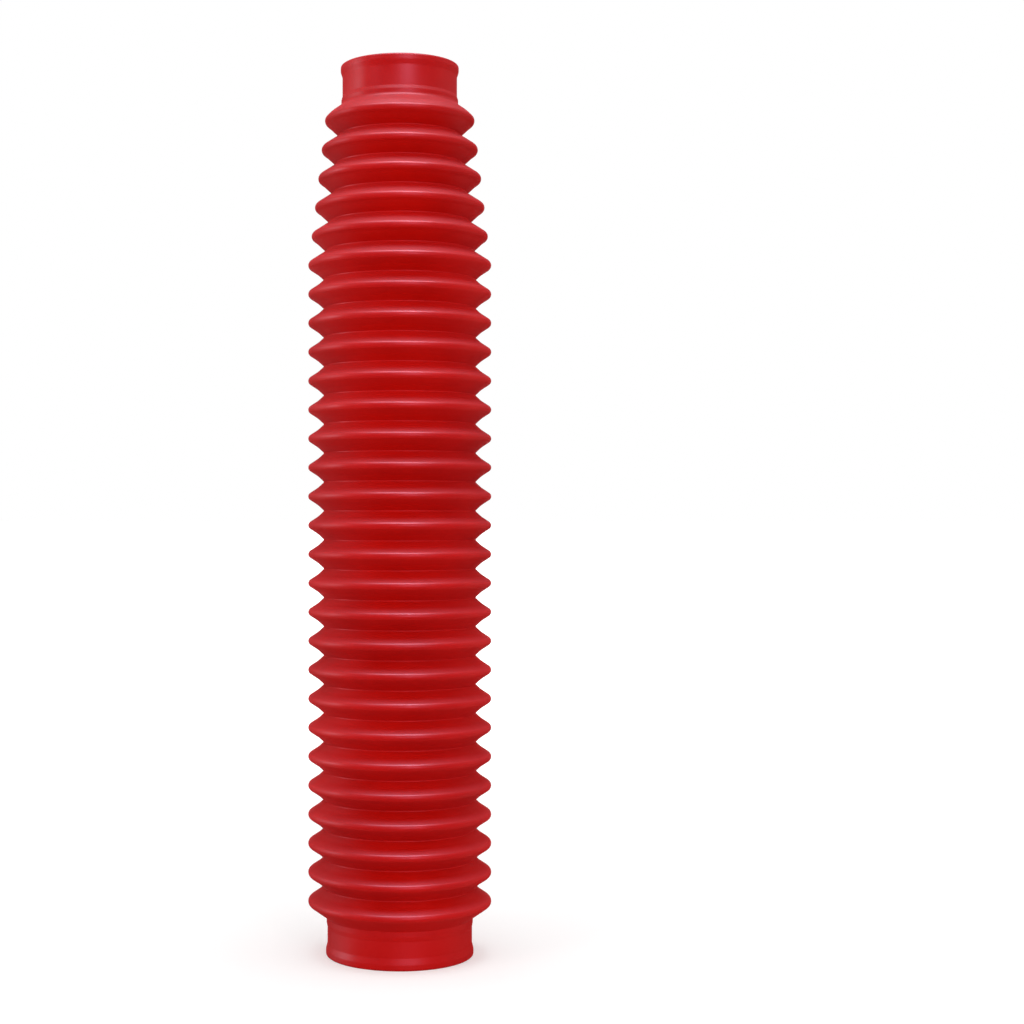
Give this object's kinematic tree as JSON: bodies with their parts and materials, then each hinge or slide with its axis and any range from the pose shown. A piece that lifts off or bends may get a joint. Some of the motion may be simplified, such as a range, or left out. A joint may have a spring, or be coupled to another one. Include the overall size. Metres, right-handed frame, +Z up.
{
  "type": "fork gaiter",
  "caption": "Ribbed rubber bellows sleeve that guards a motorcycle fork tube, with a wide collar below, a narrow collar above and folds that taper near the top.",
  "frame": {"origin": "centre of the bore on the plane of the wide collar's rim", "axes": "+Z runs up along the bore's axis to the narrow collar; X and Y lie across the bore"},
  "size_m": [0.0722, 0.0722, 0.35],
  "materials": {
    "red_rubber": "smooth moulded rubber with a soft sheen"
  },
  "bodies": {
    "root": {"bellows_sleeve": "red_rubber"}
  },
  "joints": []
}
